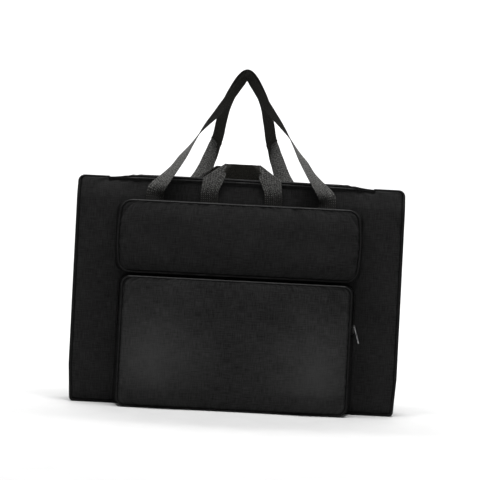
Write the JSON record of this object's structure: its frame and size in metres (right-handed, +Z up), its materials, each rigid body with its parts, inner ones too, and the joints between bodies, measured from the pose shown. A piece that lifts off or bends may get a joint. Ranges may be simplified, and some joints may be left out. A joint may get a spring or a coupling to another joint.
{
  "type": "portfolio case",
  "caption": "Soft black A2 art portfolio case with a zipped main compartment, zipped front pockets and webbing handles.",
  "frame": {"origin": "centre of the body's flat bottom, on the surface that the bag stands on", "axes": "+X along the width, to the right of someone facing the front; -Y towards the front pockets; +Z up to the handles"},
  "size_m": [0.62, 0.1174, 0.6479],
  "materials": {
    "fabric": "coarse woven polyester",
    "piping": "covered cord",
    "lining": "thin plain weave",
    "board": "matt sheet",
    "tape": "woven tape",
    "coil": "nylon coil",
    "metal": "plated zip hardware",
    "webbing": "ribbed webbing",
    "thread": "sewing thread"
  },
  "bodies": {
    "root": {"front_panel": "fabric", "back_panel": "fabric", "front_stiffener": "board", "back_stiffener": "board", "front_lining": "lining", "back_lining": "lining", "left_gusset": "fabric", "right_gusset": "fabric", "bottom_gusset": "fabric", "bottom_stiffener": "board", "left_top_end": "fabric", "right_top_end": "fabric", "front_piping": "piping", "back_piping": "piping", "main_zip_ends": "coil", "front_handle_anchors": "webbing", "back_handle_anchors": "webbing", "anchor_stitching": "thread", "upper_pocket_face": "fabric", "upper_pocket_piping": "piping", "upper_pocket_left_gusset": "fabric", "upper_pocket_right_gusset": "fabric", "upper_pocket_bottom_gusset": "fabric", "upper_pocket_top_gusset": "fabric", "upper_pocket_rear_tape": "tape", "upper_pocket_rear_coil": "coil", "lower_pocket_face": "fabric", "lower_pocket_piping": "piping", "lower_pocket_left_gusset": "fabric", "lower_pocket_right_gusset": "fabric", "lower_pocket_bottom_gusset": "fabric", "lower_pocket_top_gusset": "fabric", "lower_pocket_rear_tape": "tape", "lower_pocket_rear_coil": "coil"},
    "front_lip_body": {"front_lip": "fabric", "front_zip_tape": "tape", "front_zip_coil": "coil"},
    "back_lip_body": {"back_lip": "fabric", "back_zip_tape": "tape", "back_zip_coil": "coil"},
    "main_slider_body": {"main_slider": "metal"},
    "main_pull_body": {"main_pull": "metal"},
    "upper_lip_body": {"upper_pocket_lip": "fabric", "upper_pocket_lip_tape": "tape", "upper_pocket_lip_coil": "coil"},
    "upper_slider_body": {"upper_pocket_slider": "metal"},
    "upper_pull_body": {"upper_pocket_pull": "metal"},
    "lower_flap_body": {"lower_flap_face": "fabric", "lower_flap_piping": "piping", "lower_flap_gusset": "fabric", "lower_flap_tape": "tape", "lower_flap_coil": "coil"},
    "lower_slider_body": {"lower_pocket_slider": "metal"},
    "lower_pull_body": {"lower_pocket_pull": "metal"},
    "front_long_handle_body": {"front_long_handle": "webbing"},
    "back_long_handle_body": {"back_long_handle": "webbing"},
    "front_short_handle_body": {"front_short_handle": "webbing"},
    "back_short_handle_body": {"back_short_handle": "webbing"}
  },
  "joints": [
    {"name": "front_lip_open", "type": "hinge", "parent": "root", "child": "front_lip_body", "pos_m": [0, -0.0225, 0.423], "axis": [1, 0, 0], "range_deg": [0, 50]},
    {"name": "back_lip_open", "type": "hinge", "parent": "root", "child": "back_lip_body", "pos_m": [0, 0.0225, 0.423], "axis": [-1, 0, 0], "range_deg": [0, 50]},
    {"name": "main_zip_slide", "type": "slide", "parent": "root", "child": "main_slider_body", "axis": [-1, 0, 0], "range_m": [0, 0.524]},
    {"name": "main_pull_lift", "type": "hinge", "parent": "main_slider_body", "child": "main_pull_body", "pos_m": [0.266, 0, 0.4273], "axis": [0, -1, 0], "range_deg": [0, 170]},
    {"name": "upper_lip_open", "type": "hinge", "parent": "root", "child": "upper_lip_body", "pos_m": [0, -0.0573, 0.3845], "axis": [1, 0, 0], "range_deg": [0, 80]},
    {"name": "upper_zip_slide", "type": "slide", "parent": "root", "child": "upper_slider_body", "axis": [-1, 0, 0], "range_m": [0, 0.332]},
    {"name": "upper_pull_lift", "type": "hinge", "parent": "upper_slider_body", "child": "upper_pull_body", "pos_m": [0.17, -0.044, 0.3838], "axis": [0, -1, 0], "range_deg": [0, 170]},
    {"name": "lower_flap_open", "type": "hinge", "parent": "root", "child": "lower_flap_body", "pos_m": [0, -0.0662, 0.17315], "axis": [1, 0, 0], "range_deg": [0, 110]},
    {"name": "lower_zip_slide", "type": "slide", "parent": "root", "child": "lower_slider_body", "axis": [0, 0, 1], "range_m": [0, 0.05]},
    {"name": "lower_pull_lift", "type": "hinge", "parent": "lower_slider_body", "child": "lower_pull_body", "pos_m": [0.22344, -0.04931, 0.167], "axis": [-0.3363, -0.9417, 0], "range_deg": [0, 112]},
    {"name": "front_long_fold", "type": "hinge", "parent": "root", "child": "front_long_handle_body", "pos_m": [0, -0.03185, 0.39], "axis": [-1, 0, 0], "range_deg": [-62, 0]},
    {"name": "front_short_fold", "type": "hinge", "parent": "root", "child": "front_short_handle_body", "pos_m": [0, -0.03185, 0.39], "axis": [-1, 0, 0], "range_deg": [-82, 0]},
    {"name": "back_long_fold", "type": "hinge", "parent": "root", "child": "back_long_handle_body", "pos_m": [0, 0.03185, 0.39], "axis": [1, 0, 0], "range_deg": [-160, 0]},
    {"name": "back_short_fold", "type": "hinge", "parent": "root", "child": "back_short_handle_body", "pos_m": [0, 0.03185, 0.39], "axis": [1, 0, 0], "range_deg": [-160, 0]}
  ],
  "couplings": [
    {"joint": "back_short_fold", "follows": "back_long_fold", "ratio": 1}
  ]
}
